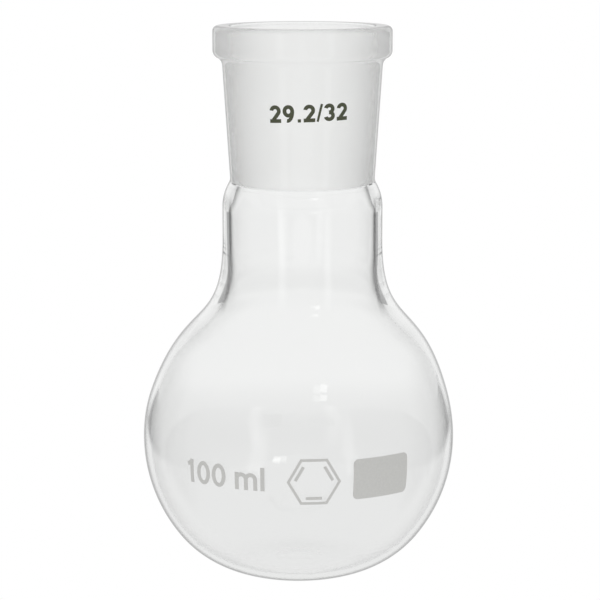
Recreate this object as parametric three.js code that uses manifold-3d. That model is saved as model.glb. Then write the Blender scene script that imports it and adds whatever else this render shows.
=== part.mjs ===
// A 100 ml boiling flask with a ground glass socket and a flattened base.
// Millimetres, +Z up. The origin is the centre of the base, on the bench. The print faces -Y.
import * as THREE from 'three';
import { mergeVertices } from 'three/addons/utils/BufferGeometryUtils.js';
import Module from 'manifold-3d';

// Driving dimensions
const HEIGHT = 112.3;
const SEGMENTS = 48; // facets around the axis
const SEAM_GAP = 0.3; // clearance between two neighbouring zones of glass

// Standard taper socket: 29.2 mm at the wide end, 32 mm long, taper 1 in 10 on the diameter
const SOCKET_TOP_BORE = 29.2 / 2;
const GROUND_LENGTH = 32;
const PLAIN_END = 0.3; // of the socket, between the ground zone and the seal
const TAPER = 1 / 20; // change of radius with height
const SOCKET_TOP_RADIUS = 16.15; // outside, just under the rim bead
const SOCKET_LOW_RADIUS = 14.7; // outside, just above the seal
const SEAL_RADIUS = 15.3; // where the socket is sealed to the neck
const SEAL_HEIGHT = 1.2;
const RIM_RADIUS = 18.1;
const RIM_BEAD_HEIGHT = 6.6;
const RIM_TOP_ROUND = 1;
const RIM_UNDER_ROUND = 1.6;
const RIM_UNDER_START = -75; // degrees, where the round under the bead leaves the socket
const RIM_ROOT = 1.5; // height over which the socket widens into the bead
const RIM_BORE_ROUND = 0.4;

const NECK_RADIUS = 16.3;
const NECK_WALL = 1.45;
const NECK_DRAW_IN = 4; // height over which the neck's outside draws in to the seal
const BORE_DRAW_IN = 6.2; // and its inside, to the bore of the socket
const NECK_OFFSET = 0.8; // the neck and the socket stand this far to +X of the globe's axis
const LEAN_START = 32; // heights between which the shoulder leans over by that much
const LEAN_END = 57;

const GLOBE_RADIUS = 32;
const GLOBE_CENTRE = 28.1;
const GLOBE_WALL = 1.3;

// The shoulder leaves the sphere at an angle above the equator, in degrees. It keeps the sphere's
// direction over the first length and turns to the neck's over the second, up to the neck's bottom.
// The glass is thicker there, so the inside turns earlier.
const SHOULDER_START = 17.6;
const SHOULDER_OUTSIDE = { leave: 20.2, arrive: 19.5, neckBottom: 69.5 };
const SHOULDER_INSIDE = { leave: 17.6, arrive: 15.4, neckBottom: 64 };

const CORNER_RADIUS = 21.85; // between the globe and the foot
const CORNER_CENTRE = 8; // distance of its centre from the axis
const FOOT_INNER_RADIUS = 5;
const PUSH_UP = 0.25; // hollow under the middle of the foot
const PUSH_UP_RADIUS = 3;
const BASE_THICKNESS = 1.9;
const INNER_CORNER_START = 0.6; // height above the base's middle where its inner corner starts

const BASE_SEAM = 9; // heights of the borders between the zones of the blown body
const SHOULDER_SEAM = 42;
const NECK_SEAM = 70;
const SOCKET_BOTTOM = HEIGHT - GROUND_LENGTH - PLAIN_END;

// Enamel print. A line is the height that its figures stand on.
const MARK_GAP = 0.06;
const MARK_THICKNESS = 0.2;
const MARK_LOW = 20; // heights between which the print on the globe lies
const MARK_HIGH = 33;
const CAPACITY_LINE = 24.4;
const CAPACITY_DIGIT = { width: 3.1, height: 4.7, stroke: 0.82 };
const CAPACITY_LETTER = { width: 4.6, height: 3.5, stroke: 0.8 };
const JOINT_SIZE_LINE = 94.3;
const JOINT_SIZE_TILT = 1.9; // degrees, the print rises a little to the right
const JOINT_DIGIT = { width: 2.25, height: 3.45, stroke: 0.74 };
const PATCH = { width: 12.4, height: 8.1, round: 1 };
const PATCH_HEIGHT = 26.4; // of the middle of the patch and of the hexagon
const HEXAGON = { radius: 5.3, stroke: 0.6, barOffset: 3.3, barLength: 3.2 };

// Materials

function glassMaterial(roughness, opacity) {
  return new THREE.MeshStandardMaterial({
    color: 0xe9eeed,
    roughness,
    metalness: 0,
    transparent: true,
    opacity,
  });
}

function enamelMaterial(color) {
  return new THREE.MeshStandardMaterial({ color, roughness: 0.6, metalness: 0 });
}

const OLIVE = 0x474b34;
const PALE_GREY = 0xbcbdba;

// Outline helpers: points are (radius, height)

function point(radius, height) {
  return new THREE.Vector2(radius, height);
}

// Points of an arc around (x, y), from one angle to another in degrees
function arc(x, y, radius, from, to, steps) {
  const points = [];
  for (let i = 0; i <= steps; i += 1) {
    const angle = THREE.MathUtils.degToRad(from + ((to - from) * i) / steps);
    points.push(point(x + radius * Math.cos(angle), y + radius * Math.sin(angle)));
  }
  return points;
}

// Height where the corner arc runs into the sphere, as an angle seen from the sphere's centre
function cornerAngle() {
  return THREE.MathUtils.radToDeg(Math.atan2(CORNER_RADIUS - GLOBE_CENTRE, CORNER_CENTRE));
}

// Outline of the blown body from the foot up into the neck, moved inwards by the wall thickness
function bodyOutline(wall, shoulderShape, neckRadius) {
  const corner = arc(CORNER_CENTRE, CORNER_RADIUS, CORNER_RADIUS - wall, -90, cornerAngle(), 6);
  const globe = arc(0, GLOBE_CENTRE, GLOBE_RADIUS - wall, cornerAngle(), SHOULDER_START, 8);
  const shoulder = shoulderCurve(globe.at(-1), shoulderShape, neckRadius);
  return [...corner, ...globe.slice(1), ...shoulder, point(neckRadius, SOCKET_BOTTOM)];
}

// The S-shaped shoulder leaves the sphere along its tangent and ends upright at the neck
function shoulderCurve(start, { leave, arrive, neckBottom }, neckRadius) {
  const slope = THREE.MathUtils.degToRad(SHOULDER_START);
  const curve = new THREE.CubicBezierCurve(
    start,
    point(start.x - leave * Math.sin(slope), start.y + leave * Math.cos(slope)),
    point(neckRadius, neckBottom - arrive),
    point(neckRadius, neckBottom),
  );
  return curve.getPoints(9).slice(1);
}

// Part of an outline between two heights, with new points exactly on both
function between(outline, low, high) {
  const inside = outline.filter((p) => p.y > low + 0.05 && p.y < high - 0.05);
  return [point(radiusAt(outline, low), low), ...inside, point(radiusAt(outline, high), high)];
}

function radiusAt(outline, height) {
  const after = outline.findIndex((p) => p.y >= height);
  if (after < 1) return outline.at(after).x;
  const [a, b] = [outline[after - 1], outline[after]];
  return a.x + ((b.x - a.x) * (height - a.y)) / (b.y - a.y);
}

// A ring of glass between an outer and an inner outline, both listed upwards
function glassRing(outer, inner) {
  return lathe([...outer, ...inner.slice().reverse(), outer[0]]);
}

function lathe(points) {
  const geometry = new THREE.LatheGeometry(points, SEGMENTS);
  geometry.rotateX(Math.PI / 2); // the lathe turns around Y, the flask stands on Z
  return geometry;
}

// Glass

const bodyOutside = bodyOutline(0, SHOULDER_OUTSIDE, NECK_RADIUS);
const bodyInside = bodyOutline(GLOBE_WALL, SHOULDER_INSIDE, NECK_RADIUS - NECK_WALL);

function base() {
  const top = BASE_SEAM - SEAM_GAP / 2;
  const outside = between(bodyOutside, 0, top);
  const inside = between(bodyInside, BASE_THICKNESS + INNER_CORNER_START, top);
  return lathe([
    point(0, PUSH_UP),
    point(PUSH_UP_RADIUS, PUSH_UP),
    point(FOOT_INNER_RADIUS, 0),
    ...outside,
    ...inside.reverse(),
    point(CORNER_CENTRE, BASE_THICKNESS),
    point(0, BASE_THICKNESS + PUSH_UP),
  ]);
}

function bodyZone(lowSeam, highSeam) {
  const low = lowSeam + SEAM_GAP / 2;
  const high = highSeam - SEAM_GAP / 2;
  return glassRing(between(bodyOutside, low, high), between(bodyInside, low, high));
}

// The neck tube narrows at its top to meet the socket
function neckTube() {
  const bottom = NECK_SEAM + SEAM_GAP / 2;
  const top = SOCKET_BOTTOM - SEAM_GAP;
  const inner = NECK_RADIUS - NECK_WALL;
  const bore = socketBore(SOCKET_BOTTOM);
  const outside = drawIn(NECK_RADIUS, SEAL_RADIUS, top, NECK_DRAW_IN);
  const inside = drawIn(inner, bore, top, BORE_DRAW_IN);
  return glassRing([point(NECK_RADIUS, bottom), ...outside], [point(inner, bottom), ...inside]);
}

// An upright wall that bends inwards over the last stretch below its top
function drawIn(from, to, top, height) {
  const start = point(from, top - height);
  const curve = new THREE.QuadraticBezierCurve(start, point(from, top - height / 2), point(to, top));
  return curve.getPoints(5);
}

function socketBore(height) {
  return SOCKET_TOP_BORE - (HEIGHT - height) * TAPER;
}

// Ground socket with its rolled rim bead
function jointSocket() {
  const beadBottom = HEIGHT - RIM_BEAD_HEIGHT;
  const topRound = arc(RIM_RADIUS - RIM_TOP_ROUND, HEIGHT - RIM_TOP_ROUND, RIM_TOP_ROUND, 0, 90, 4);
  const underRound = arc(
    RIM_RADIUS - RIM_UNDER_ROUND,
    beadBottom + RIM_UNDER_ROUND,
    RIM_UNDER_ROUND,
    RIM_UNDER_START,
    0,
    4,
  );
  const boreRound = RIM_BORE_ROUND;
  return lathe([
    point(SEAL_RADIUS, SOCKET_BOTTOM),
    point(SOCKET_LOW_RADIUS, SOCKET_BOTTOM + SEAL_HEIGHT),
    point(SOCKET_TOP_RADIUS, beadBottom - RIM_ROOT),
    ...underRound,
    ...topRound,
    point(SOCKET_TOP_BORE + boreRound, HEIGHT),
    point(socketBore(HEIGHT - boreRound), HEIGHT - boreRound),
    point(socketBore(SOCKET_BOTTOM), SOCKET_BOTTOM),
    point(SEAL_RADIUS, SOCKET_BOTTOM),
  ]);
}

// Flat shapes of the print: x to the right, y up, in millimetres around the middle of the mark

function bar(x0, y0, x1, y1, width) {
  const length = Math.hypot(x1 - x0, y1 - y0);
  const across = point((-(y1 - y0) / length) * (width / 2), ((x1 - x0) / length) * (width / 2));
  return new THREE.Shape([
    point(x0 - across.x, y0 - across.y),
    point(x1 - across.x, y1 - across.y),
    point(x1 + across.x, y1 + across.y),
    point(x0 + across.x, y0 + across.y),
  ]);
}

// A band of constant width along part of an ellipse, angles in degrees, anticlockwise
function bow(x, y, radiusX, radiusY, from, to, width) {
  const start = THREE.MathUtils.degToRad(from);
  const end = THREE.MathUtils.degToRad(to);
  const half = width / 2;
  const shape = new THREE.Shape();
  shape.absellipse(x, y, radiusX + half, radiusY + half, start, end, false);
  shape.absellipse(x, y, radiusX - half, radiusY - half, end, start, true);
  shape.closePath();
  return shape;
}

function hoop(x, y, radiusX, radiusY, width) {
  const half = width / 2;
  const shape = new THREE.Shape();
  shape.absellipse(x, y, radiusX + half, radiusY + half, 0, 2 * Math.PI);
  const hole = new THREE.Path();
  hole.absellipse(x, y, radiusX - half, radiusY - half, 0, 2 * Math.PI);
  shape.holes.push(hole);
  return shape;
}

function roundedRectangle({ width, height, round }) {
  const [x, y] = [width / 2, height / 2];
  const shape = new THREE.Shape();
  shape.absarc(x - round, y - round, round, 0, Math.PI / 2);
  shape.absarc(-x + round, y - round, round, Math.PI / 2, Math.PI);
  shape.absarc(-x + round, -y + round, round, Math.PI, 1.5 * Math.PI);
  shape.absarc(x - round, -y + round, round, 1.5 * Math.PI, 2 * Math.PI);
  shape.closePath();
  return shape;
}

// Plain lettering: each glyph is a list of flat shapes that overlap where they join
const glyphs = {
  0({ width: w, height: h, stroke: s }) {
    return [hoop(0, 0, (w - s) / 2, (h - s) / 2, s)];
  },
  1({ width: w, height: h, stroke: s }) {
    const x = w * 0.12;
    return [bar(x, -h / 2, x, h / 2, s), bar(x, h / 2 - s * 0.6, x - w * 0.33, h * 0.27, s)];
  },
  2({ width: w, height: h, stroke: s }) {
    const r = (w - s) / 2;
    const top = h / 2 - s / 2 - r;
    const foot = -h / 2 + s / 2;
    return [
      bow(0, top, r, r, -42, 172, s),
      bar(r * 0.74 + s * 0.12, top - r * 0.67 + s * 0.14, -r + s * 0.25, foot, s),
      bar(-w / 2, foot, w / 2, foot, s),
    ];
  },
  3({ width: w, height: h, stroke: s }) {
    const r = (h - s) / 4;
    const reach = (w - s) / 2;
    return [bow(0, r, reach * 0.92, r, -95, 165, s), bow(0, -r, reach, r, -165, 95, s)];
  },
  9({ width: w, height: h, stroke: s }) {
    const r = (w - s) / 2;
    const y = h / 2 - s / 2 - r * 1.12;
    return [hoop(0, y, r, r * 1.12, s), bow(-r * 0.25, y, r * 1.25, h / 2 + y - s / 2, -100, 0, s)];
  },
  m({ width: w, height: h, stroke: s }) {
    const x = (w - s) / 2;
    const r = x / 2;
    const y = h / 2 - s / 2 - r;
    return [
      bar(-x, -h / 2, -x, h / 2, s),
      bar(0, -h / 2, 0, y + s / 4, s),
      bar(x, -h / 2, x, y + s / 4, s),
      bow(-r, y, r, r, 0, 180, s),
      bow(r, y, r, r, 0, 180, s),
    ];
  },
  l({ height: h, stroke: s }) {
    return [bar(0, -h / 2, 0, h / 2, s)];
  },
  point({ height: h, stroke: s }) {
    const side = s * 0.85;
    return [bar(0, -h / 2, 0, -h / 2 + side, side)];
  },
  slash({ width: w, height: h, stroke: s }) {
    return [bar(-w * 0.2, -h / 2, w * 0.2, h / 2, s * 0.6)];
  },
};

function hexagonOutline() {
  const shape = new THREE.Shape(hexagonCorners(HEXAGON.radius));
  shape.holes.push(new THREE.Path(hexagonCorners(HEXAGON.radius - HEXAGON.stroke)));
  return [shape];
}

function hexagonCorners(radius) {
  return arc(0, 0, radius, 0, 300, 5);
}

// One of the three short bars inside the outline, beside every second side
function hexagonBar(index) {
  const angle = THREE.MathUtils.degToRad(30 + 120 * index);
  const middle = point(HEXAGON.barOffset * Math.cos(angle), HEXAGON.barOffset * Math.sin(angle));
  const dx = (-Math.sin(angle) * HEXAGON.barLength) / 2;
  const dy = (Math.cos(angle) * HEXAGON.barLength) / 2;
  return [bar(middle.x - dx, middle.y - dy, middle.x + dx, middle.y + dy, HEXAGON.stroke)];
}

// Solids of the print: the flat shapes are cut out of a thin skin just off the glass

const wasm = await Module();
wasm.setup();

function toManifold(geometry) {
  const bare = geometry.clone();
  bare.deleteAttribute('normal');
  bare.deleteAttribute('uv');
  const merged = mergeVertices(bare, 1e-4);
  return new wasm.Manifold(
    new wasm.Mesh({
      numProp: 3,
      vertProperties: new Float32Array(merged.attributes.position.array),
      triVerts: new Uint32Array(merged.index.array),
    }),
  );
}

function toGeometry(solid) {
  const mesh = solid.getMesh();
  const geometry = new THREE.BufferGeometry();
  geometry.setAttribute('position', new THREE.BufferAttribute(mesh.vertProperties, 3));
  geometry.setIndex(new THREE.BufferAttribute(mesh.triVerts, 1));
  const faceted = geometry.toNonIndexed();
  faceted.computeVertexNormals();
  return faceted;
}

// Skin over part of the glass, from its outline: a ring MARK_THICKNESS thick
function skin(outline) {
  const inner = outline.map((p) => point(p.x + MARK_GAP, p.y));
  const outer = outline.map((p) => point(p.x + MARK_GAP + MARK_THICKNESS, p.y));
  return toManifold(glassRing(outer, inner));
}

const globeSkin = skin(between(bodyOutside, MARK_LOW, MARK_HIGH));
const socketSkin = skin([
  point(SOCKET_LOW_RADIUS, SOCKET_BOTTOM + SEAL_HEIGHT),
  point(SOCKET_TOP_RADIUS, HEIGHT - RIM_BEAD_HEIGHT - RIM_ROOT),
]);

// A mark faces outwards at an azimuth in degrees, 0 at the front and more to the right. Its middle is
// at the height, and a tilt turns it anticlockwise.
function mark(shapes, skinSolid, azimuth, height, tilt = 0) {
  const depth = RIM_RADIUS + GLOBE_RADIUS;
  let prism = null;
  for (const shape of shapes) {
    const geometry = new THREE.ExtrudeGeometry(shape, { depth, bevelEnabled: false, curveSegments: 6 });
    geometry.rotateZ(THREE.MathUtils.degToRad(tilt));
    geometry.rotateX(Math.PI / 2);
    geometry.rotateZ(THREE.MathUtils.degToRad(azimuth));
    geometry.translate(0, 0, height);
    const solid = toManifold(geometry);
    prism = prism ? prism.add(solid) : solid;
  }
  return toGeometry(skinSolid.intersect(prism));
}

// The finished object

const flask = new THREE.Group();
flask.name = 'flask';

// Blown glass is never quite true: everything above the globe is carried over to +X
function lean(geometry) {
  const { position } = geometry.attributes;
  for (let i = 0; i < position.count; i += 1) {
    const share = THREE.MathUtils.smoothstep(position.getZ(i), LEAN_START, LEAN_END);
    position.setX(i, position.getX(i) + NECK_OFFSET * share);
  }
  return geometry;
}

function addMesh(name, geometry, material) {
  const mesh = new THREE.Mesh(lean(geometry), material);
  mesh.name = name;
  flask.add(mesh);
}

addMesh('joint_socket', jointSocket(), glassMaterial(0.55, 0.8));
addMesh('neck_tube', neckTube(), glassMaterial(0.05, 0.3));
addMesh('shoulder', bodyZone(SHOULDER_SEAM, NECK_SEAM), glassMaterial(0.05, 0.3));
addMesh('globe', bodyZone(BASE_SEAM, SHOULDER_SEAM), glassMaterial(0.05, 0.3));
addMesh('base', base(), glassMaterial(0.05, 0.3));

const jointSizePrint = [
  ['joint_size_2_first', '2', -20],
  ['joint_size_9', '9', -10.1],
  ['joint_size_point', 'point', -2.5],
  ['joint_size_2_second', '2', 4.7],
  ['joint_size_stroke', 'slash', 12.3],
  ['joint_size_3', '3', 19.4],
  ['joint_size_2_third', '2', 29.3],
];
for (const [name, glyph, azimuth] of jointSizePrint) {
  const along = THREE.MathUtils.degToRad(azimuth) * SEAL_RADIUS;
  const rise = along * Math.tan(THREE.MathUtils.degToRad(JOINT_SIZE_TILT));
  const middle = JOINT_SIZE_LINE + JOINT_DIGIT.height / 2 + rise;
  const shapes = glyphs[glyph](JOINT_DIGIT);
  addMesh(name, mark(shapes, socketSkin, azimuth, middle, JOINT_SIZE_TILT), enamelMaterial(OLIVE));
}

const capacityPrint = [
  ['capacity_1', '1', -41.5, CAPACITY_DIGIT],
  ['capacity_0_first', '0', -35.5, CAPACITY_DIGIT],
  ['capacity_0_second', '0', -29.1, CAPACITY_DIGIT],
  ['capacity_m', 'm', -18.6, CAPACITY_LETTER],
  ['capacity_l', 'l', -12.6, CAPACITY_DIGIT],
];
for (const [name, glyph, azimuth, size] of capacityPrint) {
  const middle = CAPACITY_LINE + size.height / 2;
  const shapes = glyphs[glyph](size);
  addMesh(name, mark(shapes, globeSkin, azimuth, middle), enamelMaterial(PALE_GREY));
}

const HEXAGON_AZIMUTH = 5.4;
addMesh(
  'hexagon_outline',
  mark(hexagonOutline(), globeSkin, HEXAGON_AZIMUTH, PATCH_HEIGHT),
  enamelMaterial(PALE_GREY),
);
for (let i = 0; i < 3; i += 1) {
  addMesh(
    `hexagon_bar_${i + 1}`,
    mark(hexagonBar(i), globeSkin, HEXAGON_AZIMUTH, PATCH_HEIGHT),
    enamelMaterial(PALE_GREY),
  );
}

const PATCH_AZIMUTH = 30.6;
addMesh(
  'writing_patch',
  mark([roundedRectangle(PATCH)], globeSkin, PATCH_AZIMUTH, PATCH_HEIGHT),
  enamelMaterial(PALE_GREY),
);

export default flask;
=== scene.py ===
"""A 100 ml boiling flask: blown borosilicate glass, a ground socket and a fired enamel print."""

import math

import bmesh
import bpy
from mathutils import Matrix, Vector

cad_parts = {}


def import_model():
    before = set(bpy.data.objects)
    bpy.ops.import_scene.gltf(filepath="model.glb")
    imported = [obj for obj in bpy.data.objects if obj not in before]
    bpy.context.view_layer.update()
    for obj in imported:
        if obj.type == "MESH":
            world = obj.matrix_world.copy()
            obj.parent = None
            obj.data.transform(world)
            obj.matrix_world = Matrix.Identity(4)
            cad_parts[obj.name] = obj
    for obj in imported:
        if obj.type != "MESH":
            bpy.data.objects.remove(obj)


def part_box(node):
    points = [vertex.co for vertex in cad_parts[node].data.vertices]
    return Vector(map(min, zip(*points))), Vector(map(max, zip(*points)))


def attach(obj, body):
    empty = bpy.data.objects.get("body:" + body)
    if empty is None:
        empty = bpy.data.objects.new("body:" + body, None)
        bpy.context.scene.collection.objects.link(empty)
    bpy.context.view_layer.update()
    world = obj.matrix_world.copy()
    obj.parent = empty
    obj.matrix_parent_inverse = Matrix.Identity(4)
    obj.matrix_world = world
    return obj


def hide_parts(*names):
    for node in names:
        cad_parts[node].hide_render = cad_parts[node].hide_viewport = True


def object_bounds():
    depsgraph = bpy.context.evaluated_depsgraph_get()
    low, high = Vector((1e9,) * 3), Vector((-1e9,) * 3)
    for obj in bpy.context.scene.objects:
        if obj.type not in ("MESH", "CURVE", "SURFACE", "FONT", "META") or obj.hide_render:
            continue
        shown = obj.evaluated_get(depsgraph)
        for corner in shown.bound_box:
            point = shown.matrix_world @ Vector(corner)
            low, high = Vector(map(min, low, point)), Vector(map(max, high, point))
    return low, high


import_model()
cad_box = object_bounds()

MM = 0.001


def node_span(node):
    """Lowest and highest x of a CAD node, in millimetres."""
    low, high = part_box(node)
    return low.x / MM, high.x / MM


# ---------------------------------------------------------------- sizes, in millimetres
HEIGHT = cad_box[1].z / MM
SOCKET_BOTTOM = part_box("joint_socket")[0].z / MM
RIM_LEFT, RIM_RIGHT = node_span("joint_socket")
RIM_RADIUS = (RIM_RIGHT - RIM_LEFT) / 2
NECK_LEFT, NECK_RIGHT = node_span("neck_tube")
NECK_RADIUS = (NECK_RIGHT - NECK_LEFT) / 2
NECK_OFFSET = (NECK_RIGHT + NECK_LEFT) / 2    # of the neck and the socket from the globe's axis
LEAN_START = 32.0             # heights between which the shoulder leans over by that much
LEAN_END = 57.0

# socket
BORE_TOP_RADIUS = 14.6
TAPER = 1 / 20
SOCKET_TOP_RADIUS = 16.15
SOCKET_LOW_RADIUS = 14.7
SEAL_RADIUS = 15.3
BEAD_HEIGHT = 6.6
BEAD_TOP_ROUND = 1.1
BEAD_UNDER_ROUND = 1.7
MOUTH_ROUND = 0.45
GRINDING_END = 0.3            # the ground zone stops this far above the seal
SEAL_CURVE = 1.7              # height over which the outside draws in above the seal
SEAL_BEND = (0.35, 0.7)       # how far that curve has drawn in and risen at its first handle,
SEAL_CURVE_BEND = 0.8         # and how far below its end the second one is
BEAD_NECK = 1.6               # height over which the outside widens into the bead
BEAD_NECK_BENDS = ((0.05, 0.6), (0.3, 0.4))    # its handles, outwards and below the bead
BEAD_START = (0.55, 0.28)     # where the bead starts: in from the rim, in roundings, and up
BEAD_START_ANGLE = -55
SOCKET_PRINT_RADIUS = 15.5

# blown body
NECK_WALL = 1.45
NECK_DRAW_IN = 4.3            # height over which the neck's outside draws in to the seal
NECK_BENDS = (2.4, (0.5, 1))  # that curve's handles: below the seal, and outwards and below it
BORE_DRAW_IN = 5.0            # the same for its inside, to the bore of the socket
BORE_BENDS = (3.5, (1.1, 2.3))
GLOBE_RADIUS = 32.0
GLOBE_CENTRE = 28.1
GLOBE_WALL = 1.3
SHOULDER_START = 17.6         # degrees above the equator
# The shoulder keeps the sphere's direction for the first length and turns to the neck's over the
# second, up to the height. The glass is thicker there, so the inside turns earlier.
SHOULDER_OUTSIDE = (20.2, 19.5, 69.5)
SHOULDER_INSIDE = (17.6, 15.4, 64.0)
CORNER_RADIUS = 21.85
CORNER_CENTRE = 8.0
FOOT_INNER_RADIUS = 5.0
PUSH_UP = 0.25
BASE_THICKNESS = 1.9
WAVE = 0.04                   # unevenness of the blown inner wall

SEGMENTS = 192
SEAL_GAP = 0.01               # between the two glass pieces, so that they don't share faces

# print
PRINT_GAP = 0.012
PRINT_THICKNESS = 0.06
PRINT_STEP = 0.6              # facet size along the glass
JOINT_DIGIT = (2.25, 3.45, 0.74)      # width, height, stroke
JOINT_SIZE_TILT = 1.9
CAPACITY_DIGIT = (3.1, 4.7, 0.82)
CAPACITY_LETTER = (4.6, 3.5, 0.8)
PATCH = (12.4, 8.1, 1.0)
HEXAGON_RADIUS = 5.3
HEXAGON_STROKE = 0.6
HEXAGON_BAR_OFFSET = 3.3
HEXAGON_BAR_LENGTH = 3.2

# ---------------------------------------------------------------- looks
GLASS_IOR = 1.473
OUTER_COLOR = (0.965, 0.972, 0.966)
INNER_COLOR = (1, 1, 1)
# Painted shade: at grazing angles the glass colour is mixed towards these dark tones, which paints dark
# outlines at its edges
OUTER_PAINTED_EDGE_SHADE = (0.01, 0.01, 0.01)
INNER_PAINTED_EDGE_SHADE = (0.5, 0.5, 0.5)
# Facing goes from 0, where the glass is seen square on, to 1 at its edges
OUTER_EDGE_FACING = (0.76, 0.88)
INNER_EDGE_FACING = (0.55, 1.0)
# Heights here are in metres. Painted shade: the inner face of the neck is painted darker still at its edges.
NECK_PAINTED_SHADE_LEVEL = 0.03
NECK_EDGE_FACING = (0.62, 0.88)
NECK_EDGE_HEIGHTS = (0.0545, 0.0595)
# Painted shade: a thin dark line is painted on the outer face at this facing value, where the inner face
# behind it turns away; the value is lower on the shoulder
LIMB_HEIGHTS = (0.055, 0.067)
LIMB_FACING = (0.47, 0.572)
LIMB_WIDTH = (0.012, 0.045)
LIMB_PAINTED_SHADE_LEVEL = 0.42
LIMB_END = (0.0765, 0.079)

GROUND_COLOR = (0.97, 0.97, 0.965)
GROUND_ROUGHNESS = (0.55, 0.7)
OLIVE = ((0.063, 0.07, 0.034), 0.4, 0.1)       # colour, roughness and how uneven the colour is
GREY = ((0.645, 0.645, 0.625), 0.6, 0.03)
ENAMEL_GLOSS_CHANGE = 0.08    # to both sides of its roughness

# ---------------------------------------------------------------- studio, in metres and degrees
FLOOR_RADIUS = 5.0
FLOOR_DROP = 0.00005          # keeps the floor clear of the foot
# Painted light: the floor takes no light and glows by its own emission; the lit part, its fall-off and the
# strips are painted into that glow, which the camera sees plain white
LIT_HALF_WIDTH = 0.075        # the lit part of the table: this far to each side of the flask,
LIT_FRONT = 0.09              # this far in front of it,
LIT_SIDE_FADE = 1.5           # faded out at its sides, in half-widths,
LIT_EDGE = 0.02               # over this length at its front,
LIT_BACK_FADE = 0.05          # and over this length behind the flask, into the part that is there
LIT_BEHIND = 0.095            # the part behind the flask: this far to each side,
LIT_SPREAD = 0.6              # or this far per metre behind it, where that is more
LIT_RISE = (0.1, 0.26)        # where the table's level rises to the backdrop's
BACKDROP_SPREAD = 0.66        # the lit part of the backdrop above the table is wider
TABLE_FADE = 1.15             # where the lit part has faded out, in half-widths
BACKDROP_FADE = 1.9
TABLE_LEVEL = 0.83
BACKDROP_LEVEL = 0.92
BACKDROP_EDGE_LEVEL = 0.85
BACKDROP_FALL = (0.25, 0.9)   # where it falls from the one to the other, in half-widths
BESIDE_LEVEL = 0.36           # dim on both sides of the backdrop
FRONT_LEVEL = 0.6             # and brighter again from the flask's sides round to its front
ROOM_TURN = (0.1, 0.45)       # y over x where it turns from the one to the other
OVERHEAD_LEVEL = 0.8
OVERHEAD_TURN = (0.15, 0.5)   # upward part of the direction where it takes over
STRIP_AZIMUTHS = (-29, 37)    # bright strips in front, to the left and right of the camera: in the world's light, and painted into the floor's glow
STRIP_LEVEL = 0.6
STRIP_EDGES = (0.05, 0.2)     # where they fade, in x over y off their middle
STRIP_START = (0.05, 0.1)     # how far in front of the flask they start
WINDOW_PANES = (("window_left_pane", 14.9, 1.2), ("window_right_pane", 21.2, 2.6))   # azimuth, radiance
WINDOW_ELEVATION = 35.8
WINDOW_DISTANCE = 0.8
WINDOW_SIZE = 0.073
LIGHT_AIM = 0.05
LIGHT_BOUNCES = 32            # thick glass edges carry light through many reflections
CAMERA_DISTANCE = 0.425
CAMERA_HEIGHT = 0.134
CAMERA_AIM = 0.0575
CAMERA_SENSOR = 36            # millimetres
CAMERA_FOCAL = 3.51           # focal length over sensor width
CAMERA_SHIFT = (0.0025, -0.0095)
CAMERA_NEAR = 0.01


# ---------------------------------------------------------------- outlines, as (radius, height)
def arc(x, z, radius, start, end, steps):
    """Points of an arc round (x, z), from one angle to another in degrees."""
    angles = [math.radians(start + (end - start) * i / steps) for i in range(steps + 1)]
    return [(x + radius * math.cos(a), z + radius * math.sin(a)) for a in angles]


def bezier(p0, p1, p2, p3, steps):
    points = []
    for i in range(steps + 1):
        t = i / steps
        weights = ((1 - t) ** 3, 3 * (1 - t) ** 2 * t, 3 * (1 - t) * t * t, t ** 3)
        points.append(tuple(sum(w * p[k] for w, p in zip(weights, (p0, p1, p2, p3))) for k in (0, 1)))
    return points


def line(start, end, steps):
    return [tuple(a + (b - a) * i / steps for a, b in zip(start, end)) for i in range(steps + 1)]


def join(*stretches):
    """One outline from stretches that meet end to end."""
    points = list(stretches[0])
    for stretch in stretches[1:]:
        points += stretch if math.dist(points[-1], stretch[0]) > 1e-6 else stretch[1:]
    return points


def body_wall(wall, shoulder_shape, neck, neck_end):
    """Outline of the blown body above its foot, moved inwards by the wall's thickness."""
    leave, arrive, neck_bottom = shoulder_shape
    corner_end = math.degrees(math.atan2(CORNER_RADIUS - GLOBE_CENTRE, CORNER_CENTRE))
    corner = arc(CORNER_CENTRE, CORNER_RADIUS, CORNER_RADIUS - wall, -90, corner_end, 30)
    globe = arc(0, GLOBE_CENTRE, GLOBE_RADIUS - wall, corner_end, SHOULDER_START, 50)
    slope = math.radians(SHOULDER_START)
    x, z = globe[-1]
    shoulder = bezier(
        (x, z),
        (x - leave * math.sin(slope), z + leave * math.cos(slope)),
        (neck, neck_bottom - arrive),
        (neck, neck_bottom),
        48,
    )
    return join(corner, globe, shoulder, line((neck, neck_bottom), (neck, neck_end), 12))


def bore(height):
    return BORE_TOP_RADIUS - (HEIGHT - height) * TAPER


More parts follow.
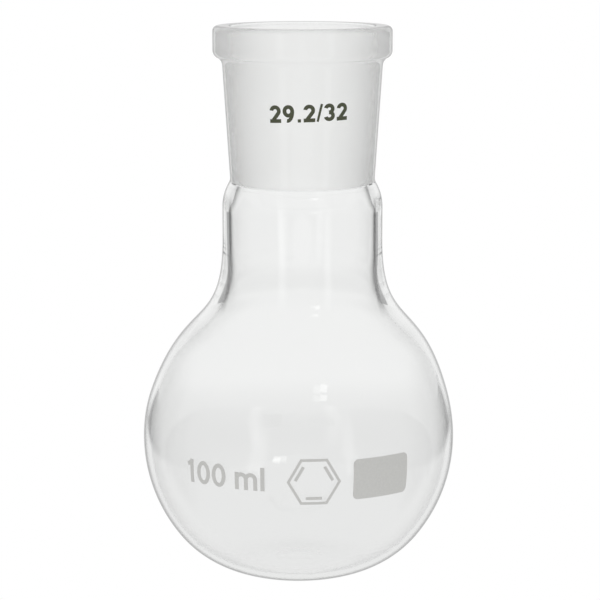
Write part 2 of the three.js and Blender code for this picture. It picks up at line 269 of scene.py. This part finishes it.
def body_outline():
    """Closed outline of the blown body: up the outside, over the seal and down the inside."""
    push_up = [(FOOT_INNER_RADIUS * math.sin(math.radians(a)), PUSH_UP * math.cos(math.radians(a)) ** 2)
               for a in range(0, 91, 6)]
    top = SOCKET_BOTTOM - SEAL_GAP
    neck_bend, (seal_out, seal_bend) = NECK_BENDS
    outside = join(
        push_up,
        body_wall(0, SHOULDER_OUTSIDE, NECK_RADIUS, top - NECK_DRAW_IN),
        bezier(
            (NECK_RADIUS, top - NECK_DRAW_IN),
            (NECK_RADIUS, top - neck_bend),
            (SEAL_RADIUS + seal_out, top - seal_bend),
            (SEAL_RADIUS, top),
            14,
        ),
    )
    inner_neck = NECK_RADIUS - NECK_WALL
    neck_bend, (bore_out, bore_bend) = BORE_BENDS
    wall = body_wall(GLOBE_WALL, SHOULDER_INSIDE, inner_neck, top - BORE_DRAW_IN)
    inside = join(
        line((0, BASE_THICKNESS + PUSH_UP), (CORNER_CENTRE, BASE_THICKNESS), 8),
        [p for p in wall if p[1] > BASE_THICKNESS],
        bezier(
            (inner_neck, top - BORE_DRAW_IN),
            (inner_neck, top - neck_bend),
            (bore(top) + bore_out, top - bore_bend),
            (bore(top), top),
            24,
        ),
    )
    return outside, inside


def socket_outline():
    bottom = SOCKET_BOTTOM
    bead = HEIGHT - BEAD_HEIGHT
    low = bottom + SEAL_CURVE
    outside = join(
        bezier(
            (SEAL_RADIUS, bottom),
            (SEAL_RADIUS - SEAL_BEND[0], bottom + SEAL_BEND[1]),
            (SOCKET_LOW_RADIUS, low - SEAL_CURVE_BEND),
            (SOCKET_LOW_RADIUS, low),
            10,
        ),
        line((SOCKET_LOW_RADIUS, low), (SOCKET_TOP_RADIUS, bead - BEAD_NECK), 24),
        bezier(
            (SOCKET_TOP_RADIUS, bead - BEAD_NECK),
            *[(SOCKET_TOP_RADIUS + out, bead - below) for out, below in BEAD_NECK_BENDS],
            (RIM_RADIUS - BEAD_UNDER_ROUND * BEAD_START[0], bead + BEAD_START[1]),
            8,
        ),
        arc(
            RIM_RADIUS - BEAD_UNDER_ROUND,
            bead + BEAD_UNDER_ROUND,
            BEAD_UNDER_ROUND,
            BEAD_START_ANGLE,
            0,
            10,
        ),
        arc(RIM_RADIUS - BEAD_TOP_ROUND, HEIGHT - BEAD_TOP_ROUND, BEAD_TOP_ROUND, 0, 90, 12),
        arc(BORE_TOP_RADIUS + MOUTH_ROUND, HEIGHT - MOUTH_ROUND, MOUTH_ROUND, 90, 180, 8),
    )
    grinding_low = bottom + GRINDING_END
    inside = join(
        line((bore(bottom), bottom), (bore(grinding_low), grinding_low), 2),
        line((bore(grinding_low), grinding_low), (bore(HEIGHT - MOUTH_ROUND), HEIGHT - MOUTH_ROUND), 40),
    )
    return outside, inside


# ---------------------------------------------------------------- glass
def turned(name, outside, inside, materials, material_at, uneven=None):
    """A closed shell turned round the flask's axis.

    Both outlines go upwards. The flat ring where the two pieces are fused takes the last material, and
    the inside may be moved outwards by a function of angle and height."""
    loop = join(outside, inside[::-1])
    if math.dist(loop[0], loop[-1]) < 1e-6:
        loop.pop()
    inner_start = len(outside)
    bm = bmesh.new()
    rings = []
    for index, (radius, height) in enumerate(loop):
        if radius < 1e-6:
            rings.append([bm.verts.new(Vector((0, 0, height)) * MM)])
            continue
        ring = []
        for i in range(SEGMENTS):
            angle = 2 * math.pi * i / SEGMENTS
            out = uneven(angle, height) if uneven and index >= inner_start else 0
            x, y = (radius + out) * math.cos(angle), (radius + out) * math.sin(angle)
            ring.append(bm.verts.new(leaned((x, y, height)) * MM))
        rings.append(ring)
    closes = len(rings[0]) > 1
    pairs = list(zip(rings, rings[1:])) + ([(rings[-1], rings[0])] if closes else [])
    seal = len(pairs) - 1 if closes else len(outside) - 1
    for index, (low, high) in enumerate(pairs):
        for i in range(SEGMENTS):
            j = (i + 1) % SEGMENTS
            if len(low) == 1:
                face = bm.faces.new((low[0], high[j], high[i]))
            elif len(high) == 1:
                face = bm.faces.new((low[i], low[j], high[0]))
            else:
                face = bm.faces.new((low[i], low[j], high[j], high[i]))
            face.smooth = True
            middle = sum(v.co.z for v in face.verts) / len(face.verts) / MM
            face.material_index = material_at(index >= inner_start, middle)
            if index == seal:
                face.material_index = len(materials) - 1
    bmesh.ops.recalc_face_normals(bm, faces=bm.faces)
    mesh = bpy.data.meshes.new(name)
    bm.to_mesh(mesh)
    bm.free()
    mesh.set_sharp_from_angle(angle=math.radians(50))
    for material in materials:
        mesh.materials.append(material)
    obj = bpy.data.objects.new(name, mesh)
    bpy.context.scene.collection.objects.link(obj)
    return obj


def leaned(place):
    """Carries a point over to +X with the part of the flask that it is on."""
    x, y, z = place
    share = min(1, max(0, (z - LEAN_START) / (LEAN_END - LEAN_START)))
    return Vector((x + NECK_OFFSET * share * share * (3 - 2 * share), y, z))


def waves(angle, height):
    """How far the blown inner wall is off its outline: slow waves round it and along it."""
    slow = math.sin(2 * angle + 0.11 * height + 0.7) + 0.6 * math.sin(3 * angle - 0.19 * height + 2.1)
    quick = 0.4 * math.sin(5 * angle + 0.31 * height) + 0.5 * math.sin(0.42 * height + 1.3)
    return WAVE * (slow + quick) / 2.5


# ---------------------------------------------------------------- print on the glass
def bar(x0, y0, x1, y1, width):
    """A straight stroke with square ends, as one loop of points."""
    length = math.hypot(x1 - x0, y1 - y0)
    ax, ay = -(y1 - y0) / length * width / 2, (x1 - x0) / length * width / 2
    return [[(x0 - ax, y0 - ay), (x1 - ax, y1 - ay), (x1 + ax, y1 + ay), (x0 + ax, y0 + ay)]]


def ellipse(x, y, rx, ry, start, end, steps):
    angles = [math.radians(start + (end - start) * i / steps) for i in range(steps + 1)]
    return [(x + rx * math.cos(a), y + ry * math.sin(a)) for a in angles]


def bow(x, y, rx, ry, start, end, width):
    """A stroke along part of an ellipse."""
    half = width / 2
    steps = max(8, round(abs(end - start) / 6))
    return [ellipse(x, y, rx + half, ry + half, start, end, steps)
            + ellipse(x, y, rx - half, ry - half, end, start, steps)]


def hoop(x, y, rx, ry, width):
    return [ellipse(x, y, rx + grow, ry + grow, 0, 360, 64)[:-1] for grow in (width / 2, -width / 2)]


def glyph_0(w, h, s):
    return [hoop(0, 0, (w - s) / 2, (h - s) / 2, s)]


def glyph_1(w, h, s):
    x = w * 0.12
    return [bar(x, -h / 2, x, h / 2, s), bar(x, h / 2 - s * 0.6, x - w * 0.33, h * 0.27, s)]


def glyph_2(w, h, s):
    r = (w - s) / 2
    top = h / 2 - s / 2 - r
    foot = -h / 2 + s / 2
    return [
        bow(0, top, r, r, -42, 172, s),
        bar(r * 0.74 + s * 0.12, top - r * 0.67 + s * 0.14, -r + s * 0.25, foot, s),
        bar(-w / 2, foot, w / 2, foot, s),
    ]


def glyph_3(w, h, s):
    r = (h - s) / 4
    reach = (w - s) / 2
    return [bow(0, r, reach * 0.92, r, -95, 165, s), bow(0, -r, reach, r, -165, 95, s)]


def glyph_9(w, h, s):
    r = (w - s) / 2
    y = h / 2 - s / 2 - r * 1.12
    return [hoop(0, y, r, r * 1.12, s), bow(-r * 0.25, y, r * 1.25, h / 2 + y - s / 2, -100, 0, s)]


def glyph_m(w, h, s):
    x = (w - s) / 2
    r = x / 2
    y = h / 2 - s / 2 - r
    return [
        bar(-x, -h / 2, -x, h / 2, s),
        bar(0, -h / 2, 0, y + s / 4, s),
        bar(x, -h / 2, x, y + s / 4, s),
        bow(-r, y, r, r, 0, 180, s),
        bow(r, y, r, r, 0, 180, s),
    ]


def glyph_l(w, h, s):
    return [bar(0, -h / 2, 0, h / 2, s)]


def glyph_point(w, h, s):
    side = s * 0.85
    return [bar(0, -h / 2, 0, -h / 2 + side, side)]


def glyph_slash(w, h, s):
    return [bar(-w * 0.2, -h / 2, w * 0.2, h / 2, s * 0.6)]


def hexagon_outline():
    corners = [ellipse(0, 0, r, r, 0, 300, 5) for r in (HEXAGON_RADIUS, HEXAGON_RADIUS - HEXAGON_STROKE)]
    return [corners]


def hexagon_bar(index):
    a = math.radians(30 + 120 * index)
    x, y = HEXAGON_BAR_OFFSET * math.cos(a), HEXAGON_BAR_OFFSET * math.sin(a)
    dx, dy = -math.sin(a) * HEXAGON_BAR_LENGTH / 2, math.cos(a) * HEXAGON_BAR_LENGTH / 2
    return [bar(x - dx, y - dy, x + dx, y + dy, HEXAGON_STROKE)]


def rounded_rectangle(width, height, round_radius):
    x, y = width / 2 - round_radius, height / 2 - round_radius
    loop = []
    for cx, cy, start in ((x, y, 0), (-x, y, 90), (-x, -y, 180), (x, -y, 270)):
        loop += ellipse(cx, cy, round_radius, round_radius, start, start + 90, 10)
    return [[loop]]


def plate(loops):
    """A flat plate in the XY plane from one outer loop and its holes, in millimetres."""
    curve = bpy.data.curves.new("shape", "CURVE")
    curve.dimensions = "2D"
    curve.fill_mode = "BOTH"
    curve.extrude = PRINT_THICKNESS / 2
    for loop in loops:
        spline = curve.splines.new("POLY")
        spline.points.add(len(loop) - 1)
        for point, (x, y) in zip(spline.points, loop):
            point.co = (x, y, 0, 1)
        spline.use_cyclic_u = True
    holder = bpy.data.objects.new("holder", curve)
    bpy.context.scene.collection.objects.link(holder)
    mesh = bpy.data.meshes.new_from_object(holder.evaluated_get(bpy.context.evaluated_depsgraph_get()))
    bpy.data.objects.remove(holder)
    obj = bpy.data.objects.new("plate", mesh)
    bpy.context.scene.collection.objects.link(obj)
    weld(obj.data)
    return obj


def weld(mesh):
    bm = bmesh.new()
    bm.from_mesh(mesh)
    bmesh.ops.remove_doubles(bm, verts=bm.verts, dist=1e-5)
    bmesh.ops.recalc_face_normals(bm, faces=bm.faces)
    bm.to_mesh(mesh)
    bm.free()


def joined(parts):
    """The union of overlapping plates, as one mesh."""
    first, *others = [plate(loops) for loops in parts]
    for other in others:
        union = first.modifiers.new("union", "BOOLEAN")
        union.operation = "UNION"
        union.solver = "EXACT"
        union.object = other
        graph = bpy.context.evaluated_depsgraph_get()
        mesh = bpy.data.meshes.new_from_object(first.evaluated_get(graph))
        first.modifiers.clear()
        first.data = mesh
        bpy.data.objects.remove(other)
    mesh = first.data
    bpy.data.objects.remove(first)
    return mesh


def grid_cut(bm, step):
    """Cuts the mesh along a square grid, so that it can follow a curved surface."""
    for axis in (0, 1):
        low = min(v.co[axis] for v in bm.verts)
        high = max(v.co[axis] for v in bm.verts)
        count = math.ceil((high - low) / step)
        for i in range(1, count):
            place = Vector((0, 0, 0))
            place[axis] = low + (high - low) * i / count
            normal = Vector((0, 0, 0))
            normal[axis] = 1
            everything = bm.verts[:] + bm.edges[:] + bm.faces[:]
            bmesh.ops.bisect_plane(bm, geom=everything, plane_co=place, plane_no=normal, dist=1e-6)


def on_globe(azimuth, height, lift):
    rise = math.asin((height - GLOBE_CENTRE) / GLOBE_RADIUS)
    radius = GLOBE_RADIUS + lift
    out = radius * math.cos(rise)
    return leaned((out * math.sin(azimuth), -out * math.cos(azimuth), GLOBE_CENTRE + radius * math.sin(rise)))


def on_socket(azimuth, height, lift):
    out = socket_radius(height) + lift
    return leaned((out * math.sin(azimuth), -out * math.cos(azimuth), height))


def socket_radius(height):
    low, high = SOCKET_BOTTOM + SEAL_CURVE, HEIGHT - BEAD_HEIGHT - BEAD_NECK
    share = (height - low) / (high - low)
    return SOCKET_LOW_RADIUS + (SOCKET_TOP_RADIUS - SOCKET_LOW_RADIUS) * share


def printed(node, parts, surface, surface_radius, material, tilt=0):
    """A thin enamel island laid on the glass in the place of its CAD node."""
    low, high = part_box(node)
    middle = (low + high) / 2 / MM
    azimuth = math.atan2(middle.x - leaned((0, 0, middle.z)).x, -middle.y)
    mesh = joined(parts)
    bm = bmesh.new()
    bm.from_mesh(mesh)
    spans = [[v.co[axis] for v in bm.verts] for axis in (0, 1)]
    centre = Vector([(min(span) + max(span)) / 2 for span in spans])
    grid_cut(bm, PRINT_STEP)
    turn = math.radians(tilt)
    for v in bm.verts:
        x, y = v.co.x - centre.x, v.co.y - centre.y
        across = x * math.cos(turn) - y * math.sin(turn)
        up = x * math.sin(turn) + y * math.cos(turn)
        lift = PRINT_GAP + v.co.z + PRINT_THICKNESS / 2
        v.co = surface(azimuth + across / surface_radius, middle.z + up, lift) * MM
    bmesh.ops.remove_doubles(bm, verts=bm.verts, dist=1e-8)
    bmesh.ops.recalc_face_normals(bm, faces=bm.faces)
    for face in bm.faces:
        face.smooth = True
    result = bpy.data.meshes.new(node + "_film")
    bm.to_mesh(result)
    bm.free()
    result.set_sharp_from_angle(angle=math.radians(40))
    result.materials.append(material)
    obj = bpy.data.objects.new(node + "_film", result)
    bpy.context.scene.collection.objects.link(obj)
    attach(obj, "root")
    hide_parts(node)
    return obj


# ---------------------------------------------------------------- materials
def new_material(name):
    material = bpy.data.materials.new(name)
    material.use_nodes = True
    tree = material.node_tree
    shader = tree.nodes["Principled BSDF"]
    return material, tree, shader


def calculate(tree, operation, a, b=0.0):
    """A Math node; each input is a number or another node's output."""
    node = tree.nodes.new("ShaderNodeMath")
    node.operation = operation
    for value, slot in zip((a, b), node.inputs):
        if isinstance(value, (int, float)):
            slot.default_value = value
        else:
            tree.links.new(value, slot)
    return node.outputs["Value"]


def ease(tree, value, start, end, from_level, to_level):
    """A smooth change from one level to another while the value goes from start to end."""
    node = tree.nodes.new("ShaderNodeMapRange")
    node.interpolation_type = "SMOOTHSTEP"
    for name, number in (("From Min", start), ("From Max", end)):
        node.inputs[name].default_value = number
    for name, level in (("To Min", from_level), ("To Max", to_level)):
        if isinstance(level, (int, float)):
            node.inputs[name].default_value = level
        else:
            tree.links.new(level, node.inputs[name])
    tree.links.new(value, node.inputs["Value"])
    return node.outputs["Result"]


def axes(tree, output):
    coordinates = tree.nodes.new("ShaderNodeTexCoord")
    split = tree.nodes.new("ShaderNodeSeparateXYZ")
    tree.links.new(coordinates.outputs[output], split.inputs["Vector"])
    return split.outputs["X"], split.outputs["Y"], split.outputs["Z"]


def noise(tree, scale, detail, stretch=(1, 1, 1)):
    coordinates = tree.nodes.new("ShaderNodeTexCoord")
    mapping = tree.nodes.new("ShaderNodeMapping")
    mapping.inputs["Scale"].default_value = stretch
    texture = tree.nodes.new("ShaderNodeTexNoise")
    texture.inputs["Scale"].default_value = scale
    texture.inputs["Detail"].default_value = detail
    tree.links.new(coordinates.outputs["Object"], mapping.inputs["Vector"])
    tree.links.new(mapping.outputs["Vector"], texture.inputs["Vector"])
    return texture.outputs["Fac"]


def spread(tree, value, low, high):
    """Spreads a noise value, which is mostly between 0.3 and 0.7, over a range."""
    ramp = tree.nodes.new("ShaderNodeMapRange")
    ramp.inputs["From Min"].default_value = 0.3
    ramp.inputs["From Max"].default_value = 0.7
    ramp.inputs["To Min"].default_value = low
    ramp.inputs["To Max"].default_value = high
    tree.links.new(value, ramp.inputs["Value"])
    return ramp.outputs["Result"]


def bump(tree, shader, value, strength, distance):
    node = tree.nodes.new("ShaderNodeBump")
    node.inputs["Strength"].default_value = strength
    node.inputs["Distance"].default_value = distance
    tree.links.new(value, node.inputs["Height"])
    tree.links.new(node.outputs["Normal"], shader.inputs["Normal"])


def clear_glass(name, color, painted_edge_shade, edge_facing, neck_painted_shade):
    """Clear glass with painted shade at its edges: its colour is mixed towards a dark tone at grazing angles,
    which draws dark outlines.

    The last argument is a function that scales the colour down at the neck's edges, as painted shade."""
    material, tree, shader = new_material(name)
    facing = tree.nodes.new("ShaderNodeLayerWeight").outputs["Facing"]
    # painted shade: the colour goes dark towards the grazing edges
    painted_edge_mix = tree.nodes.new("ShaderNodeMix")
    painted_edge_mix.data_type = "RGBA"
    painted_edge_mix.inputs["A"].default_value = (*color, 1)
    painted_edge_mix.inputs["B"].default_value = (*painted_edge_shade, 1)
    tree.links.new(ease(tree, facing, *edge_facing, 0.0, 1.0), painted_edge_mix.inputs["Factor"])
    scaled = tree.nodes.new("ShaderNodeVectorMath")
    scaled.operation = "SCALE"
    tree.links.new(painted_edge_mix.outputs["Result"], scaled.inputs["Vector"])
    tree.links.new(neck_painted_shade(tree, facing, axes(tree, "Object")[2]), scaled.inputs["Scale"])
    tree.links.new(scaled.outputs["Vector"], shader.inputs["Base Color"])
    shader.inputs["Transmission Weight"].default_value = 1
    shader.inputs["IOR"].default_value = GLASS_IOR
    shader.inputs["Roughness"].default_value = 0.0
    drawn = noise(tree, 60, 2, (1, 1, 0.2))   # faint streaks along the axis, from drawing the tube
    bump(tree, shader, drawn, 0.12, 0.0004)
    return material


def inner_neck_painted_shade(tree, facing, height):
    """Painted shade: the inner face of the neck is painted dark at its edges, from the shoulder up."""
    shown = ease(tree, height, *NECK_EDGE_HEIGHTS, 1.0, NECK_PAINTED_SHADE_LEVEL)
    return ease(tree, facing, *NECK_EDGE_FACING, 1.0, shown)


def outer_neck_painted_line(tree, facing, height):
    """A thin dark line painted on the outer face, where the inner face behind it turns away: painted shade.
    """
    limb = ease(tree, height, *LIMB_HEIGHTS, *LIMB_FACING)
    aside = calculate(tree, "ABSOLUTE", calculate(tree, "SUBTRACT", facing, limb))
    low = ease(tree, height, *NECK_EDGE_HEIGHTS, 1.0, LIMB_PAINTED_SHADE_LEVEL)
    shown = ease(tree, height, *LIMB_END, low, 1.0)
    return ease(tree, aside, *LIMB_WIDTH, shown, 1.0)


def fused_seal():
    """The inside of the seal, where the two pieces are melted into one and light passes straight on."""
    material, _, shader = new_material("fused_seal")
    shader.inputs["Alpha"].default_value = 0
    return material


def ground_glass():
    """Finely ground glass, rough enough to look frosted, with the grain of the grinding."""
    material, tree, shader = new_material("ground_glass")
    shader.inputs["Base Color"].default_value = (*GROUND_COLOR, 1)
    shader.inputs["Transmission Weight"].default_value = 1
    shader.inputs["IOR"].default_value = GLASS_IOR
    tree.links.new(spread(tree, noise(tree, 900, 3), *GROUND_ROUGHNESS), shader.inputs["Roughness"])
    bump(tree, shader, noise(tree, 6000, 2), 0.3, 0.00005)
    return material


def enamel(name, color, roughness, grain):
    """Fired enamel, slightly uneven in colour and gloss."""
    material, tree, shader = new_material(name)
    mix = tree.nodes.new("ShaderNodeMix")
    mix.data_type = "RGBA"
    mix.inputs["A"].default_value = (*[c * (1 - grain) for c in color], 1)
    mix.inputs["B"].default_value = (*[c * (1 + grain) for c in color], 1)
    tree.links.new(spread(tree, noise(tree, 2500, 3), 0, 1), mix.inputs["Factor"])
    tree.links.new(mix.outputs["Result"], shader.inputs["Base Color"])
    low, high = roughness - ENAMEL_GLOSS_CHANGE, roughness + ENAMEL_GLOSS_CHANGE
    tree.links.new(spread(tree, noise(tree, 1500, 2), low, high), shader.inputs["Roughness"])
    bump(tree, shader, noise(tree, 4000, 2), 0.1, 0.00003)
    return material


# ---------------------------------------------------------------- the flask
outer = clear_glass("clear_glass", OUTER_COLOR, OUTER_PAINTED_EDGE_SHADE, OUTER_EDGE_FACING, outer_neck_painted_line)
inner = clear_glass("clear_glass_inside", INNER_COLOR, INNER_PAINTED_EDGE_SHADE, INNER_EDGE_FACING, inner_neck_painted_shade)
ground = ground_glass()
seal = fused_seal()
olive = enamel("olive_enamel", *OLIVE)
grey = enamel("grey_enamel", *GREY)


def body_face(inside, height):
    """Place in the material list of a face of the blown body."""
    return 1 if inside else 0


def socket_face(inside, height):
    """Place in the material list of a face of the socket, which is ground down to near the seal."""
    if not inside:
        return 0
    return 2 if height > SOCKET_BOTTOM + GRINDING_END else 1


body = turned("blown_body", *body_outline(), [outer, inner, seal], body_face, waves)
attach(body, "root")
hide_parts("neck_tube", "shoulder", "globe", "base")

socket = turned("socket", *socket_outline(), [outer, inner, ground, seal], socket_face)
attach(socket, "root")
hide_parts("joint_socket")

JOINT_SIZE_GLYPHS = {
    "joint_size_2_first": glyph_2,
    "joint_size_9": glyph_9,
    "joint_size_point": glyph_point,
    "joint_size_2_second": glyph_2,
    "joint_size_stroke": glyph_slash,
    "joint_size_3": glyph_3,
    "joint_size_2_third": glyph_2,
}
for node, glyph in JOINT_SIZE_GLYPHS.items():
    parts = glyph(*JOINT_DIGIT)
    printed(node, parts, on_socket, SOCKET_PRINT_RADIUS, olive, JOINT_SIZE_TILT)

GLOBE_PRINT = {
    "capacity_1": glyph_1(*CAPACITY_DIGIT),
    "capacity_0_first": glyph_0(*CAPACITY_DIGIT),
    "capacity_0_second": glyph_0(*CAPACITY_DIGIT),
    "capacity_m": glyph_m(*CAPACITY_LETTER),
    "capacity_l": glyph_l(*CAPACITY_DIGIT),
    "hexagon_outline": hexagon_outline(),
    "hexagon_bar_1": hexagon_bar(0),
    "hexagon_bar_2": hexagon_bar(1),
    "hexagon_bar_3": hexagon_bar(2),
    "writing_patch": rounded_rectangle(*PATCH),
}
for node, parts in GLOBE_PRINT.items():
    printed(node, parts, on_globe, GLOBE_RADIUS, grey)


# ---------------------------------------------------------------- floor, light and camera
def studio_level(tree, x, y, half_width, lit, fade):
    """Brightness by direction from the flask: lit behind it, dimmer beside that, strips in front. On the
    floor it is painted light, in the floor's own glow.
    """
    sideways = calculate(tree, "ABSOLUTE", x)
    beside = calculate(tree, "DIVIDE", sideways, half_width)
    backwards = calculate(tree, "DIVIDE", y, calculate(tree, "MAXIMUM", sideways, 0.001))
    room = ease(tree, backwards, *ROOM_TURN, FRONT_LEVEL, BESIDE_LEVEL)
    level = ease(tree, beside, 1.0, fade, lit, room)
    ahead = calculate(tree, "MAXIMUM", calculate(tree, "MULTIPLY", y, -1.0), 0.001)
    slope = calculate(tree, "DIVIDE", x, ahead)
    strip = ease(tree, ahead, *STRIP_START, 0.0, STRIP_LEVEL)
    for azimuth in STRIP_AZIMUTHS:
        off = calculate(tree, "SUBTRACT", slope, math.tan(math.radians(azimuth)))
        aside = calculate(tree, "ABSOLUTE", off)
        level = calculate(tree, "ADD", level, ease(tree, aside, *STRIP_EDGES, strip, 0.0))
    return level


def seen_white(tree, level):
    """The camera sees plain white; glass and light see the studio's own levels."""
    path = tree.nodes.new("ShaderNodeLightPath")
    return ease(tree, path.outputs["Is Camera Ray"], 0.0, 1.0, level, 1.0)


def floor():
    """A pale table top that glows by its own emission, with painted light: a pool under and behind the flask,
    falling off to the sides and the front.
    """
    material, tree, shader = new_material("floor")
    x, y, _ = axes(tree, "Object")
    behind = calculate(tree, "MAXIMUM", y, 0.0)
    half_width = calculate(tree, "MAXIMUM", calculate(tree, "MULTIPLY", behind, LIT_SPREAD), LIT_BEHIND)
    lit = ease(tree, behind, *LIT_RISE, TABLE_LEVEL, BACKDROP_LEVEL)
    studio = studio_level(tree, x, y, half_width, lit, TABLE_FADE)
    near = calculate(tree, "DIVIDE", calculate(tree, "ABSOLUTE", x), LIT_HALF_WIDTH)
    painted_light_pool = ease(tree, near, 1.0, LIT_SIDE_FADE, TABLE_LEVEL, studio)
    beyond_front = calculate(tree, "SUBTRACT", calculate(tree, "MULTIPLY", y, -1.0), LIT_FRONT)
    level = ease(tree, beyond_front, 0.0, LIT_EDGE, painted_light_pool, studio)
    level = ease(tree, behind, 0.0, LIT_BACK_FADE, level, studio)
    # painted light: no base colour to take light, only emission in the painted levels
    shader.inputs["Base Color"].default_value = (0, 0, 0, 1)
    shader.inputs["Specular IOR Level"].default_value = 0
    shader.inputs["Emission Color"].default_value = (1, 1, 1, 1)
    tree.links.new(seen_white(tree, level), shader.inputs["Emission Strength"])
    mesh = bpy.data.meshes.new("floor")
    bm = bmesh.new()
    bmesh.ops.create_circle(bm, cap_ends=True, segments=96, radius=FLOOR_RADIUS)
    bm.to_mesh(mesh)
    bm.free()
    mesh.materials.append(material)
    obj = bpy.data.objects.new("floor", mesh)
    obj.location.z = -FLOOR_DROP
    bpy.context.scene.collection.objects.link(obj)


def world():
    """The studio above the table: bright behind the flask and overhead, dimmer all round."""
    surroundings = bpy.data.worlds.new("studio")
    surroundings.use_nodes = True
    tree = surroundings.node_tree
    background = tree.nodes["Background"]
    x, y, z = axes(tree, "Generated")
    half_width = calculate(tree, "MAXIMUM", calculate(tree, "MULTIPLY", y, BACKDROP_SPREAD), 0.001)
    aside = calculate(tree, "DIVIDE", calculate(tree, "ABSOLUTE", x), half_width)
    backdrop = ease(tree, aside, *BACKDROP_FALL, BACKDROP_LEVEL, BACKDROP_EDGE_LEVEL)
    low = studio_level(tree, x, y, half_width, backdrop, BACKDROP_FADE)
    level = ease(tree, z, *OVERHEAD_TURN, low, OVERHEAD_LEVEL)
    tree.links.new(seen_white(tree, level), background.inputs["Strength"])
    background.inputs["Color"].default_value = (1, 1, 1, 1)
    bpy.context.scene.world = surroundings


def window_pane(name, azimuth, radiance):
    """A square area light aimed at the flask, at an azimuth to the right of the camera's side."""
    light = bpy.data.lights.new(name, "AREA")
    light.shape = "RECTANGLE"
    light.size = WINDOW_SIZE
    light.size_y = WINDOW_SIZE
    light.energy = radiance * math.pi * WINDOW_SIZE * WINDOW_SIZE
    obj = bpy.data.objects.new(name, light)
    turn, rise = math.radians(azimuth), math.radians(WINDOW_ELEVATION)
    aim = Vector((0, 0, LIGHT_AIM))
    towards = Vector((math.sin(turn) * math.cos(rise), -math.cos(turn) * math.cos(rise), math.sin(rise)))
    obj.location = aim + WINDOW_DISTANCE * towards
    obj.rotation_euler = (aim - obj.location).to_track_quat("-Z", "Z").to_euler()
    obj.visible_camera = False
    bpy.context.scene.collection.objects.link(obj)


def camera():
    data = bpy.data.cameras.new("camera")
    data.sensor_width = CAMERA_SENSOR
    data.lens = CAMERA_FOCAL * CAMERA_SENSOR
    data.shift_x, data.shift_y = CAMERA_SHIFT
    data.clip_start = CAMERA_NEAR
    obj = bpy.data.objects.new("camera", data)
    pitch = math.atan2(CAMERA_HEIGHT - CAMERA_AIM, CAMERA_DISTANCE)
    obj.matrix_world = (
        Matrix.Translation((0, -CAMERA_DISTANCE, CAMERA_HEIGHT))
        @ Matrix.Rotation(math.pi / 2 - pitch, 4, "X")
    )
    bpy.context.scene.collection.objects.link(obj)
    bpy.context.scene.camera = obj


floor()
world()
for pane in WINDOW_PANES:
    window_pane(*pane)
camera()
for obj in (body, socket):
    obj.visible_shadow = False
bpy.context.scene.view_settings.view_transform = "Standard"
light_paths = bpy.context.scene.cycles
light_paths.max_bounces = LIGHT_BOUNCES
light_paths.glossy_bounces = LIGHT_BOUNCES
light_paths.transmission_bounces = LIGHT_BOUNCES
